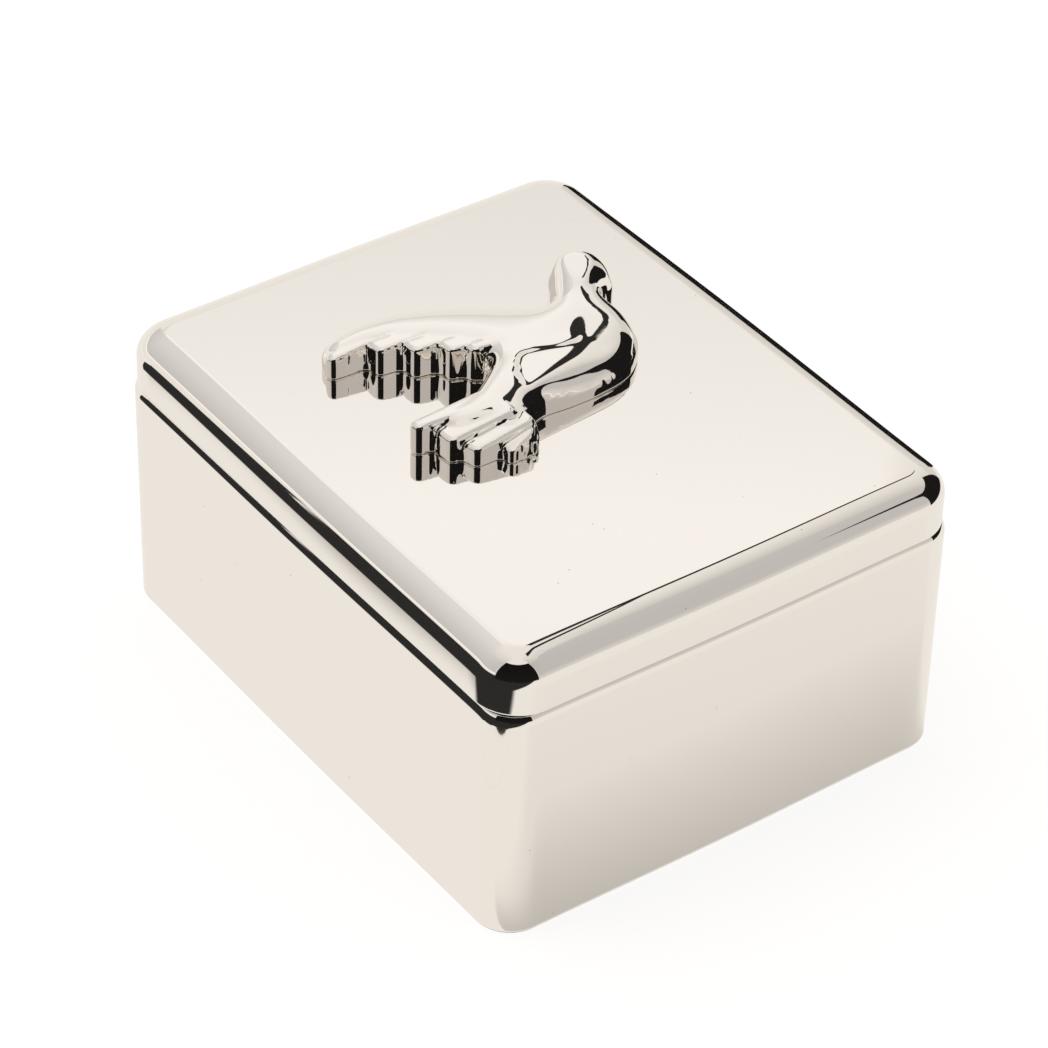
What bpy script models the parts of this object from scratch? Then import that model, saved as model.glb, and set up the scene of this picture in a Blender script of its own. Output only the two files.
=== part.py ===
"""Keepsake box: a plated metal box with a hinged lid, a cast dove on the lid and a velvet lining.

Metres, +Z up. X runs along the front, Y from the front to the hinged back. The origin is the centre
of the felt's resting face. The lid and all that it carries hang on an empty on the hinge axis."""

import math

import bmesh
import bpy
import numpy as np
from mathutils import Matrix, Vector

# The box as a whole
BOX_WIDTH = 0.1020
BOX_DEPTH = 0.1257
SEAM_HEIGHT = 0.0499
LID_HEIGHT = 0.0111
SIDE_BOW = 0.00034
SEAT_GAP = 0.0003
HARDWARE_GAP = 0.0001
CUT_OVERRUN = 0.0010
MERGE_DISTANCE = 0.00001

# Base wall
BASE_WALL = 0.0012
BASE_CORNER = 0.0075
FOOT_LIFT = 0.0003
FOOT_ROUND = 0.0004
RIM_ROUND = 0.0010
ROUND_LIMIT_SHARE = 0.85

# Floor plate and felt
FLOOR_THICK = 0.0012
FELT_THICK = 0.0015

# Lid shell
LID_WALL = 0.0012
LID_CORNER = 0.0090
SHOULDER_WIDTH = 0.0058
SHOULDER_HEIGHT = 0.0052
LID_EDGE_ROUND = 0.0004

# Lining
CARD_THICK = 0.0020
CARD_RISE = 0.0022
FLOOR_PAD_THICK = 0.0018
LID_PAD_THICK = 0.0016
PAD_CROWN = 0.0008
PAD_EDGE_ROUND = 0.0007
PAD_RING_SHARES = (0.0, 0.06, 0.16, 0.32, 0.55, 0.80)

# Hinges
HINGE_SPACING = 0.0520
HINGE_LENGTH = 0.0180
HINGE_OPEN_ANGLE = math.radians(105)
KNUCKLE_RADIUS = 0.0016
KNUCKLE_COUNT = 3
LEAF_THICK = 0.0007
BASE_LEAF_DROP = 0.0070
LID_LEAF_RISE = 0.0051
HINGE_PIN_RADIUS = 0.0007
PIN_END = 0.0004
STOP_REACH = 0.0034
STOP_THICK = 0.0007
STOP_GAP = 0.00006

# Rivets
RIVET_RADIUS = 0.0006
RIVET_HEAD_RADIUS = 0.0011
RIVET_HEAD_HEIGHT = 0.0006
RIVET_INSET = 0.0034

# Dove and its fixings
DOVE_SPAN = 0.0560
DOVE_RISE = 0.0092
DOVE_CELL = 0.0004
DOVE_VOXEL = 0.0007
DOVE_ROOT = 0.0020
DOVE_KEEP_SHARE = 0.18
DOVE_GRID_SHARE = 0.62
OUTER_SLOPE = 20.0
BODY_BLEND = 0.0022
FEATHER_BLEND = 0.0005
STUD_RADIUS = 0.0015
STUD_TAIL = 0.0004
STUD_SINK_SHARE = 0.25
WASHER_RADIUS = 0.0035
WASHER_THICK = 0.0005
NUT_WIDTH = 0.0055
NUT_HEIGHT = 0.0024
NUT_SIDES = 6

# Each row of a lump is a place on the lid, a half width and a height: the first three are shares of
# the dove's span, counted from the lid's centre, and the last is a share of its rise.
BODY_SHARES = {
    "wing_arm": ((-0.425, 0.484, 0.036, 0.52), (-0.30, 0.490, 0.048, 0.64), (-0.16, 0.450, 0.062, 0.76),
                 (-0.01, 0.370, 0.080, 0.86), (0.11, 0.270, 0.090, 0.92), (0.20, 0.190, 0.095, 0.94)),
    "back": ((0.20, 0.190, 0.095, 0.94), (0.08, 0.150, 0.100, 0.93), (-0.04, 0.085, 0.085, 0.90),
             (-0.13, 0.015, 0.080, 0.82), (-0.20, -0.050, 0.085, 0.72), (-0.28, -0.085, 0.085, 0.62)),
    "breast": ((-0.08, -0.075, 0.050, 0.58), (0.03, -0.020, 0.085, 0.72), (0.16, 0.010, 0.122, 0.86),
               (0.28, 0.070, 0.138, 0.95), (0.36, 0.160, 0.120, 0.97), (0.395, 0.260, 0.095, 0.94)),
    "neck": ((0.395, 0.260, 0.095, 0.94), (0.415, 0.330, 0.088, 0.95), (0.430, 0.375, 0.094, 1.00)),
}
FEATHER_SHARES = {
    "wing_feather_1": ((-0.448, 0.478, 0.040, 0.52), (-0.25, 0.488, 0.038, 0.55)),
    "wing_feather_2": ((-0.314, 0.411, 0.040, 0.58), (-0.14, 0.424, 0.038, 0.62)),
    "wing_feather_3": ((-0.223, 0.336, 0.041, 0.66), (-0.05, 0.348, 0.038, 0.70)),
    "wing_feather_4": ((-0.132, 0.259, 0.041, 0.74), (0.04, 0.268, 0.038, 0.78)),
    "wing_feather_5": ((-0.071, 0.188, 0.040, 0.78), (0.08, 0.196, 0.038, 0.82)),
    "tail_feather_1": ((-0.462, -0.006, 0.038, 0.64), (-0.25, -0.036, 0.036, 0.68)),
    "tail_feather_2": ((-0.392, -0.108, 0.042, 0.64), (-0.20, -0.076, 0.036, 0.68)),
    "tail_feather_3": ((-0.322, -0.172, 0.040, 0.52), (-0.17, -0.092, 0.034, 0.62)),
    "tail_feather_4": ((-0.256, -0.211, 0.034, 0.42), (-0.14, -0.102, 0.034, 0.56)),
    "tail_feather_5": ((-0.184, -0.218, 0.029, 0.34), (-0.10, -0.100, 0.032, 0.52)),
    "beak": ((0.505, 0.375, 0.022, 0.46), (0.470, 0.378, 0.040, 0.60)),
}
BODY_WALL_SHARE = 0.10
FEATHER_WALL_SHARE = 0.82
STUD_PLACE_SHARES = {"front": (0.25, 0.07), "rear": (-0.22, 0.455)}

# Fineness of curves
CORNER_STEPS = 6
SIDE_STEPS = 6
ARC_STEPS = 3
SHOULDER_STEPS = 6
ROUND_SIDES = 16
SMALL_SIDES = 12
PATH_STEPS = 8
SETTLE_COUNT = 4
PROBE_SHARE = 0.125
FLATTEST_SLOPE = 0.25
SOFTEN_COUNT = 2
SMOOTH_ANGLE = math.radians(40)

# Levels and places that follow from the sizes
FELT_TOP = FELT_THICK
FLOOR_BOTTOM = FELT_TOP + SEAT_GAP
FLOOR_TOP = FLOOR_BOTTOM + FLOOR_THICK
LINING_BOTTOM = FLOOR_TOP + SEAT_GAP
LID_BOTTOM = SEAM_HEIGHT + SEAT_GAP
LID_TOP = LID_BOTTOM + LID_HEIGHT
LID_UNDER = LID_TOP - LID_WALL
WASHER_TOP = LID_UNDER - HARDWARE_GAP
NUT_TOP = WASHER_TOP - WASHER_THICK - HARDWARE_GAP
STUD_END = NUT_TOP - NUT_HEIGHT - STUD_TAIL
LID_PAD_TOP = STUD_END - SEAT_GAP
DOVE_BOTTOM = LID_TOP + SEAT_GAP
LINING_CORNER = max(BASE_CORNER, LID_CORNER)
LINING_OUTER = max(BASE_WALL, LID_WALL) + SEAT_GAP
LINING_INNER = LINING_OUTER + CARD_THICK
HINGE_INNER_X = HINGE_SPACING / 2 - HINGE_LENGTH / 2


def bulge(along, straight):
    """How far a side bulges at a distance along from its middle, on a straight stretch."""
    return SIDE_BOW * (1 + math.cos(2 * math.pi * along / straight)) / 2


def wall_bulge(along, corner):
    """The bulge of the back, between corners of the given radius."""
    return bulge(along, BOX_WIDTH - 2 * corner)


HINGE_SEAT_Y = BOX_DEPTH / 2 + wall_bulge(HINGE_INNER_X, BASE_CORNER) + HARDWARE_GAP
HINGE_AXIS = Vector((0, HINGE_SEAT_Y + KNUCKLE_RADIUS, SEAM_HEIGHT + SEAT_GAP / 2))


def make_material(name, colour, roughness, metallic):
    """A Principled material."""
    material = bpy.data.materials.new(name)
    material.use_nodes = True
    shader = material.node_tree.nodes["Principled BSDF"]
    shader.inputs["Base Color"].default_value = (*colour, 1)
    shader.inputs["Roughness"].default_value = roughness
    shader.inputs["Metallic"].default_value = metallic
    return material


def silver(name):
    """Warm bright silver plate."""
    return make_material(name, (0.86, 0.83, 0.79), 0.05, 1.0)


def nickel(name):
    """The duller metal of hinges, rivets, nuts and washers."""
    return make_material(name, (0.72, 0.70, 0.66), 0.22, 1.0)


def velvet(name):
    """Dark blue lining velvet."""
    return make_material(name, (0.020, 0.035, 0.090), 0.95, 0.0)


def felt(name):
    """Charcoal felt."""
    return make_material(name, (0.035, 0.034, 0.033), 1.0, 0.0)


def box_outline(inset, radius):
    """The box's plan outline, set in from the sides, with corners of the given radius."""
    half = Vector((BOX_WIDTH / 2 - inset, BOX_DEPTH / 2 - inset))
    points = []
    for quarter in range(4):
        turn = Matrix.Rotation(quarter * math.pi / 2, 2)
        reach = half if quarter % 2 == 0 else half.yx
        for step in range(CORNER_STEPS + 1):
            angle = math.pi / 2 * step / CORNER_STEPS
            points.append(turn @ Vector((reach.x - radius + radius * math.cos(angle),
                                         reach.y - radius + radius * math.sin(angle))))
        straight = 2 * (reach.x - radius)
        for step in range(1, SIDE_STEPS):
            along = straight * (1 / 2 - step / SIDE_STEPS)
            points.append(turn @ Vector((along, reach.y + bulge(along, straight))))
    return points


def arc(steps, start=0.0, end=math.pi / 2):
    """The cosine and sine at equal steps of an arc."""
    angles = [start + (end - start) * step / steps for step in range(steps + 1)]
    return [(math.cos(angle), math.sin(angle)) for angle in angles]


def add_ring(bm, points, height):
    """A ring of vertices at one height."""
    return [bm.verts.new((point.x, point.y, height)) for point in points]


def join_rings(bm, rings, closed):
    """Walls between rings of equal length, closed from the last to the first or capped at both ends."""
    pairs = list(zip(rings, rings[1:]))
    if closed:
        pairs.append((rings[-1], rings[0]))
    for lower, upper in pairs:
        count = len(lower)
        for index in range(count):
            after = (index + 1) % count
            bm.faces.new((lower[index], lower[after], upper[after], upper[index]))
    if not closed:
        bm.faces.new(rings[0])
        bm.faces.new(rings[-1])


def make_object(name, bm, material=None, parent=None, smooth=True, origin=None):
    """An object from a bmesh given in world places, with its origin at its parent's unless one is given."""
    bmesh.ops.recalc_face_normals(bm, faces=bm.faces[:])
    mesh = bpy.data.meshes.new(name)
    home = parent.location.copy() if parent else Vector()
    origin = home if origin is None else origin
    bmesh.ops.translate(bm, verts=bm.verts[:], vec=-origin)
    bm.to_mesh(mesh)
    bm.free()
    if smooth:
        mesh.shade_smooth()
        mesh.set_sharp_from_angle(angle=SMOOTH_ANGLE)
    if material:
        mesh.materials.append(material)
    item = bpy.data.objects.new(name, mesh)
    bpy.context.scene.collection.objects.link(item)
    item.parent = parent
    item.location = origin - home
    return item


def apply_tool(item, tool, operation):
    """Cut a hidden tool out of an object, or join the two."""
    tool.hide_render = True
    tool.display_type = "WIRE"
    modifier = item.modifiers.new(tool.name, "BOOLEAN")
    modifier.operation = operation
    modifier.solver = "EXACT"
    modifier.object = tool


def ringed_body(name, profile, material, parent=None, closed=True):
    """A body swept round the box's outline from a profile of inset, corner radius and height."""
    bm = bmesh.new()
    rings = [add_ring(bm, box_outline(inset, radius), height) for inset, radius, height in profile]
    join_rings(bm, rings, closed)
    return make_object(name, bm, material, parent)


def make_rod(name, radius, start, end, sides, material=None, parent=None, origin=None):
    """A straight round rod between two points."""
    bm = bmesh.new()
    run = end - start
    place = Matrix.Translation((start + end) / 2) @ run.to_track_quat("Z", "Y").to_matrix().to_4x4()
    bmesh.ops.create_cone(bm, cap_ends=True, segments=sides, radius1=radius, radius2=radius,
                          depth=run.length, matrix=place)
    return make_object(name, bm, material, parent, origin=origin)


def make_block(name, low, high, material=None, parent=None, turn=None, about=None, origin=None):
    """A block between two corners, turned about a point if asked."""
    bm = bmesh.new()
    size = Vector(high) - Vector(low)
    place = Matrix.Translation((Vector(high) + Vector(low)) / 2) @ Matrix.Diagonal((*size, 1))
    bmesh.ops.create_cube(bm, size=1, matrix=place)
    if turn is not None:
        bmesh.ops.rotate(bm, verts=bm.verts[:], cent=about, matrix=turn)
    return make_object(name, bm, material, parent, smooth=False, origin=origin)


def make_turned(name, profile, place, sides, material, parent=None):
    """A turned piece from a profile of radius and height, closed on its axis or back on itself."""
    bm = bmesh.new()
    verts = [bm.verts.new((radius, 0, height)) for radius, height in profile]
    edges = [bm.edges.new(pair) for pair in zip(verts, verts[1:])]
    if profile[0][0] > 0:
        edges.append(bm.edges.new((verts[-1], verts[0])))
    bmesh.ops.spin(bm, geom=verts + edges, axis=(0, 0, 1), cent=(0, 0, 0), angle=2 * math.pi,
                   steps=sides, use_merge=True)
    bmesh.ops.remove_doubles(bm, verts=bm.verts[:], dist=MERGE_DISTANCE)
    bmesh.ops.transform(bm, matrix=place, verts=bm.verts[:])
    return make_object(name, bm, material, parent)


def make_base_body():
    """The base's wall: a tube round the outline with a rounded rim and foot."""
    rim = min(RIM_ROUND, BASE_WALL * ROUND_LIMIT_SHARE)
    foot = min(FOOT_ROUND, BASE_WALL * ROUND_LIMIT_SHARE)
    inner = BASE_CORNER - BASE_WALL
    profile = [(BASE_WALL, inner, FOOT_LIFT), (BASE_WALL, inner, SEAM_HEIGHT)]
    for cosine, sine in reversed(arc(ARC_STEPS)):
        inset = rim * (1 - cosine)
        profile.append((inset, BASE_CORNER - inset, SEAM_HEIGHT - rim * (1 - sine)))
    profile.append((0, BASE_CORNER, FOOT_LIFT + foot))
    profile.append((foot, BASE_CORNER - foot, FOOT_LIFT))
    return ringed_body("base_body", profile, silver("base_silver"))


def make_floor():
    """The floor plate in the wall's foot, and the felt under it, which the box rests on."""
    inset = BASE_WALL + SEAT_GAP
    radius = BASE_CORNER - inset
    ringed_body("base_felt", [(inset, radius, 0), (inset, radius, FELT_TOP)], felt("base_felt"), closed=False)
    ringed_body("floor_plate", [(inset, radius, FLOOR_BOTTOM), (inset, radius, FLOOR_TOP)],
                nickel("floor_metal"), closed=False)


def lid_profile():
    """The lid's section, from the middle of its underside round the edge to the middle of its top."""
    inner_width = SHOULDER_WIDTH - LID_WALL
    inner_height = SHOULDER_HEIGHT - LID_WALL
    spring = LID_TOP - SHOULDER_HEIGHT
    edge = min(LID_EDGE_ROUND, LID_WALL * ROUND_LIMIT_SHARE)
    section = []
    for cosine, sine in reversed(arc(SHOULDER_STEPS)):
        section.append((SHOULDER_WIDTH - inner_width * cosine, spring + inner_height * sine))
    section.append((LID_WALL, LID_BOTTOM))
    for cosine, sine in arc(ARC_STEPS, -math.pi / 2, 0):
        section.append((edge * (1 - cosine), LID_BOTTOM + edge * (1 + sine)))
    for cosine, sine in arc(SHOULDER_STEPS):
        section.append((SHOULDER_WIDTH * (1 - cosine), spring + SHOULDER_HEIGHT * sine))
    return [(inset, LID_CORNER - inset, height) for inset, height in section]


def make_lid_shell(lid):
    """The lid, with a hole for each of the dove's studs."""
    shell = ringed_body("lid_shell", lid_profile(), silver("lid_silver"), lid, closed=False)
    for name, place in stud_places().items():
        top = Vector((*place, LID_TOP + CUT_OVERRUN))
        bottom = Vector((*place, LID_UNDER - CUT_OVERRUN))
        hole = make_rod(f"stud_hole_{name}", STUD_RADIUS + HARDWARE_GAP, top, bottom, ROUND_SIDES, parent=lid)
        apply_tool(shell, hole, "DIFFERENCE")
    return shell


def make_lining_wall():
    """The velvet covered card round the inside, which stands above the rim and locates the lid."""
    fold = CARD_THICK / 2
    top = SEAM_HEIGHT + CARD_RISE
    profile = [(LINING_OUTER, LINING_CORNER - LINING_OUTER, LINING_BOTTOM)]
    for cosine, sine in arc(2 * ARC_STEPS, 0, math.pi):
        inset = LINING_OUTER + fold * (1 - cosine)
        profile.append((inset, LINING_CORNER - inset, top - fold * (1 - sine)))
    profile.append((LINING_INNER, LINING_CORNER - LINING_INNER, LINING_BOTTOM))
    ringed_body("lining_wall", profile, velvet("wall_velvet"))


def pad_profile(inset, radius, flat, thick):
    """A pad's section from its flat face, at height flat, over the edge and up to the crowned middle.

    A negative thickness makes a pad that hangs down from its flat face."""
    sign = math.copysign(1, thick)
    edge = flat + thick
    reach = BOX_WIDTH / 2 - inset - radius
    section = [(inset, radius, flat)]
    section.append((inset, radius, edge - sign * PAD_EDGE_ROUND))
    for share in PAD_RING_SHARES:
        rise = PAD_CROWN * math.sin(share * math.pi / 2)
        ring = inset + PAD_EDGE_ROUND + (reach - PAD_EDGE_ROUND) * share
        section.append((ring, radius, edge + sign * rise))
    return section


def make_pads(lid):
    """The padded velvet panels on the floor and in the lid."""
    floor_inset = LINING_INNER + SEAT_GAP
    floor_radius = LINING_CORNER - floor_inset
    ringed_body("lining_floor", pad_profile(floor_inset, floor_radius, LINING_BOTTOM, FLOOR_PAD_THICK),
                velvet("floor_velvet"), closed=False)
    lid_inset = LID_WALL + SEAT_GAP
    ringed_body("lining_lid", pad_profile(lid_inset, LID_CORNER - lid_inset, LID_PAD_TOP, -LID_PAD_THICK),
                velvet("lid_velvet"), lid, closed=False)


def leaf_outline(sign):
    """The section of a knuckle and the strip of leaf that it is rolled from, about the hinge axis."""
    strip_end = sign * (KNUCKLE_RADIUS + 2 * LEAF_THICK)
    meet = math.acos(1 - LEAF_THICK / KNUCKLE_RADIUS)
    points = [(-KNUCKLE_RADIUS, strip_end)]
    for cosine, sine in arc(ROUND_SIDES, math.pi, -math.pi + meet):
        points.append((KNUCKLE_RADIUS * cosine, -sign * KNUCKLE_RADIUS * sine))
    points.append((LEAF_THICK - KNUCKLE_RADIUS, strip_end))
    return points


def make_knuckle(name, low_x, high_x, sign, parent):
    """One knuckle with its strip of leaf, along X."""
    bm = bmesh.new()
    ends = []
    for x in (low_x, high_x):
        ends.append([bm.verts.new(HINGE_AXIS + Vector((x, y, z))) for y, z in leaf_outline(sign)])
    join_rings(bm, ends, closed=False)
    return make_object(name, bm, parent=parent)


def make_leaf(name, centre_x, sign, knuckles, reach, material, parent):
    """A hinge leaf: a plate, its rolled knuckles and its holes. The sign is 1 for a leaf that stands up."""
    half = HINGE_LENGTH / 2
    step = HINGE_LENGTH / KNUCKLE_COUNT
    front = HINGE_SEAT_Y
    back = HINGE_SEAT_Y + LEAF_THICK
    levels = sorted((HINGE_AXIS.z + sign * (KNUCKLE_RADIUS + HARDWARE_GAP), HINGE_AXIS.z + sign * reach))
    leaf = make_block(name, (centre_x - half, front, levels[0]), (centre_x + half, back, levels[1]),
                      material, parent)
    for index in knuckles:
        low = centre_x - half + step * index + (HARDWARE_GAP if index else 0)
        high = centre_x - half + step * (index + 1) - (HARDWARE_GAP if index < KNUCKLE_COUNT - 1 else 0)
        knuckle = make_knuckle(f"{name}_knuckle_{index}", low, high, sign, parent)
        apply_tool(leaf, knuckle, "UNION")
    return leaf


def add_bore(leaf, name, centre_x, parent):
    """The hole for the hinge pin."""
    reach = Vector((HINGE_LENGTH / 2 + CUT_OVERRUN, 0, 0))
    middle = HINGE_AXIS + Vector((centre_x, 0, 0))
    bore = make_rod(name, HINGE_PIN_RADIUS + HARDWARE_GAP, middle - reach, middle + reach, ROUND_SIDES,
                    parent=parent)
    apply_tool(leaf, bore, "DIFFERENCE")


def add_stop(leaf, name, centre_x, parent):
    """The heel on the lid leaf that meets the base leaf's back when the lid is fully open."""
    half = HINGE_LENGTH / KNUCKLE_COUNT / 2 - 2 * HARDWARE_GAP
    near = HINGE_SEAT_Y + LEAF_THICK + STOP_GAP
    low = Vector((centre_x - half, near, HINGE_AXIS.z - STOP_REACH))
    high = Vector((centre_x + half, near + STOP_THICK, HINGE_AXIS.z - HINGE_PIN_RADIUS - 2 * HARDWARE_GAP))
    turn = Matrix.Rotation(HINGE_OPEN_ANGLE, 3, "X")
    heel = make_block(name, low, high, parent=parent, turn=turn, about=HINGE_AXIS)
    apply_tool(leaf, heel, "UNION")


def make_rivet(name, place, wall, body, leaf, parent):
    """A round headed rivet through a leaf and a wall, and its holes in both."""
    seat = HINGE_SEAT_Y + LEAF_THICK + HARDWARE_GAP
    inner = BOX_DEPTH / 2 - wall[0] + wall_bulge(place.x, wall[1])
    profile = [(RIVET_HEAD_RADIUS * sine, RIVET_HEAD_HEIGHT * cosine) for cosine, sine in arc(ARC_STEPS)]
    profile[0] = (0, RIVET_HEAD_HEIGHT)
    profile += [(RIVET_RADIUS, 0), (RIVET_RADIUS, inner - seat), (0, inner - seat)]
    turn = Matrix.Translation((place.x, seat, place.z)) @ Matrix.Rotation(-math.pi / 2, 4, "X")
    make_turned(name, profile, turn, SMALL_SIDES, nickel(f"{name}_metal"), parent)
    start = Vector((place.x, inner - CUT_OVERRUN, place.z))
    end = Vector((place.x, seat + CUT_OVERRUN, place.z))
    hole = make_rod(f"{name}_hole", RIVET_RADIUS + HARDWARE_GAP, start, end, SMALL_SIDES, parent=parent)
    apply_tool(leaf, hole, "DIFFERENCE")
    apply_tool(body, hole, "DIFFERENCE")


def make_hinge(side, centre_x, base_body, lid_shell, lid):
    """A butt hinge on the back: two leaves, a pin and the rivets of each leaf."""
    metal = nickel(f"hinge_metal_{side}")
    outer = [index for index in range(KNUCKLE_COUNT) if index % 2 == 0]
    inner = [index for index in range(KNUCKLE_COUNT) if index % 2 == 1]
    base_leaf = make_leaf(f"hinge_base_leaf_{side}", centre_x, -1, outer, BASE_LEAF_DROP, metal, None)
    lid_leaf = make_leaf(f"hinge_lid_leaf_{side}", centre_x, 1, inner, LID_LEAF_RISE, metal, lid)
    add_stop(lid_leaf, f"hinge_stop_{side}", centre_x, lid)
    add_bore(base_leaf, f"base_bore_{side}", centre_x, None)
    add_bore(lid_leaf, f"lid_bore_{side}", centre_x, lid)
    reach = Vector((HINGE_LENGTH / 2 + PIN_END, 0, 0))
    middle = HINGE_AXIS + Vector((centre_x, 0, 0))
    make_rod(f"hinge_pin_{side}", HINGE_PIN_RADIUS, middle - reach, middle + reach, ROUND_SIDES, metal)
    base_z = HINGE_AXIS.z - (KNUCKLE_RADIUS + BASE_LEAF_DROP) / 2
    lid_z = HINGE_AXIS.z + (KNUCKLE_RADIUS + LID_LEAF_RISE) / 2
    for number, offset in enumerate((-HINGE_LENGTH / 2 + RIVET_INSET, HINGE_LENGTH / 2 - RIVET_INSET), 1):
        x = centre_x + offset
        make_rivet(f"rivet_base_{side}_{number}", Vector((x, 0, base_z)), (BASE_WALL, BASE_CORNER),
                   base_body, base_leaf, None)
        make_rivet(f"rivet_lid_{side}_{number}", Vector((x, 0, lid_z)), (LID_WALL, LID_CORNER),
                   lid_shell, lid_leaf, lid)


def stud_places():
    """The studs' places on the lid."""
    return {name: (DOVE_SPAN * along, DOVE_SPAN * across)
            for name, (along, across) in STUD_PLACE_SHARES.items()}


def smooth_path(rows):
    """A lump's rows in metres, with points between them on a smooth curve."""
    scale = np.array([DOVE_SPAN, DOVE_SPAN, DOVE_SPAN, DOVE_RISE])
    rows = np.array(rows) * scale
    if len(rows) < 3:
        return rows
    padded = np.vstack([2 * rows[0] - rows[1], rows, 2 * rows[-1] - rows[-2]])
    path = []
    for index in range(len(rows) - 1):
        before, start, end, after = padded[index:index + 4]
        for step in range(PATH_STEPS):
            t = step / PATH_STEPS
            slope = end - before
            bend = 2 * before - 5 * start + 4 * end - after
            turn = 3 * start - before - 3 * end + after
            path.append(start + (slope * t + bend * t ** 2 + turn * t ** 3) / 2)
    path.append(rows[-1])
    return np.array(path)


def lump(x, y, rows, wall_share):
    """The depth inside a lump's outline, and the height of its domed top there."""
    path = smooth_path(rows)
    depth = np.full(x.shape, -np.inf)
    height = np.zeros(x.shape)
    radius = np.ones(x.shape)
    for start, end in zip(path, path[1:]):
        run = end[:2] - start[:2]
        t = np.clip(((x - start[0]) * run[0] + (y - start[1]) * run[1]) / (run @ run), 0, 1)
        away = np.hypot(x - start[0] - run[0] * t, y - start[1] - run[1] * t)
        here = start[2] + (end[2] - start[2]) * t
        better = here - away > depth
        depth = np.where(better, here - away, depth)
        radius = np.where(better, here, radius)
        height = np.where(better, start[3] + (end[3] - start[3]) * t, height)
    inward = np.clip(depth / radius, 0, 1)
    dome = np.sqrt(1 - (1 - inward) ** 2)
    top = height * (wall_share + (1 - wall_share) * dome)
    return depth, np.where(depth > 0, top, height * wall_share + OUTER_SLOPE * depth)


def blend(first, second, reach):
    """The larger of two fields, with a rounded change from one to the other."""
    near = np.clip(1 - np.abs(first - second) / reach, 0, 1)
    return np.maximum(first, second) + near * near * reach / 4


def dove_fields(x, y):
    """The depth inside the dove's outline, and the height of its top."""
    depth = np.full(x.shape, -DOVE_SPAN)
    height = np.full(x.shape, -DOVE_SPAN)
    groups = ((BODY_SHARES, BODY_WALL_SHARE, BODY_BLEND), (FEATHER_SHARES, FEATHER_WALL_SHARE, FEATHER_BLEND))
    for lumps, wall_share, reach in groups:
        for rows in lumps.values():
            inside, top = lump(x, y, rows, wall_share)
            depth = blend(depth, inside, reach)
            height = blend(height, top, reach)
    return depth, height


def settle_edge(bm, cell):
    """Move the relief's border points onto the outline."""
    border = [vert for vert in bm.verts if vert.is_boundary]
    probe = cell * PROBE_SHARE
    for _ in range(SETTLE_COUNT):
        x = np.array([vert.co.x for vert in border])
        y = np.array([vert.co.y for vert in border])
        depth = dove_fields(x, y)[0]
        slope_x = (dove_fields(x + probe, y)[0] - depth) / probe
        slope_y = (dove_fields(x, y + probe)[0] - depth) / probe
        steep = np.maximum(slope_x ** 2 + slope_y ** 2, FLATTEST_SLOPE)
        for vert, move_x, move_y in zip(border, -depth * slope_x / steep, -depth * slope_y / steep):
            vert.co.x += max(-cell, min(cell, move_x))
            vert.co.y += max(-cell, min(cell, move_y))


def make_dove(lid):
    """The cast dove with its two studs, as one body."""
    bm = bmesh.new()
    half = DOVE_SPAN * DOVE_GRID_SHARE
    cells = round(2 * half / DOVE_CELL)
    bmesh.ops.create_grid(bm, x_segments=cells, y_segments=cells, size=half)
    x = np.array([vert.co.x for vert in bm.verts])
    y = np.array([vert.co.y for vert in bm.verts])
    outside = dove_fields(x, y)[0] < 0
    bmesh.ops.delete(bm, geom=[vert for vert, out in zip(bm.verts[:], outside) if out], context="VERTS")
    stray = [vert for vert in bm.verts if not vert.link_faces]
    bmesh.ops.delete(bm, geom=stray, context="VERTS")
    settle_edge(bm, DOVE_CELL)
    x = np.array([vert.co.x for vert in bm.verts])
    y = np.array([vert.co.y for vert in bm.verts])
    for vert, height in zip(bm.verts, dove_fields(x, y)[1]):
        vert.co.z = DOVE_BOTTOM + max(height, DOVE_CELL)
    grown = bmesh.ops.extrude_face_region(bm, geom=bm.faces[:], use_keep_orig=True)
    for vert in (part for part in grown["geom"] if isinstance(part, bmesh.types.BMVert)):
        vert.co.z = DOVE_BOTTOM - DOVE_ROOT
    seat = Vector((0, 0, DOVE_BOTTOM))
    dove = make_object("dove", bm, silver("dove_silver"), lid, origin=seat)
    remesh = dove.modifiers.new("even_mesh", "REMESH")
    remesh.mode = "VOXEL"
    remesh.voxel_size = DOVE_VOXEL
    smooth = dove.modifiers.new("soften", "SMOOTH")
    smooth.iterations = SOFTEN_COUNT
    thin = dove.modifiers.new("fewer_faces", "DECIMATE")
    thin.ratio = DOVE_KEEP_SHARE
    low = (-DOVE_SPAN, -DOVE_SPAN, DOVE_BOTTOM)
    high = (DOVE_SPAN, DOVE_SPAN, DOVE_BOTTOM + 2 * DOVE_RISE)
    apply_tool(dove, make_block("dove_space", low, high, parent=lid, origin=seat), "INTERSECT")
    for name, place in stud_places().items():
        top = Vector((*place, DOVE_BOTTOM + DOVE_RISE * STUD_SINK_SHARE))
        stud = make_rod(f"stud_{name}", STUD_RADIUS, Vector((*place, STUD_END)), top, ROUND_SIDES,
                        parent=lid, origin=seat)
        apply_tool(dove, stud, "UNION")


def make_nut(name, place, lid):
    """A hexagon nut on a stud."""
    centre = Vector((*place, 0))
    nut = make_rod(name, NUT_WIDTH / math.sqrt(3), centre + Vector((0, 0, NUT_TOP - NUT_HEIGHT)),
                   centre + Vector((0, 0, NUT_TOP)), NUT_SIDES, nickel(f"{name}_metal"), lid)
    low = centre + Vector((0, 0, STUD_END - CUT_OVERRUN))
    high = centre + Vector((0, 0, NUT_TOP + CUT_OVERRUN))
    hole = make_rod(f"{name}_hole", STUD_RADIUS + HARDWARE_GAP, low, high, ROUND_SIDES, parent=lid)
    apply_tool(nut, hole, "DIFFERENCE")


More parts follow.
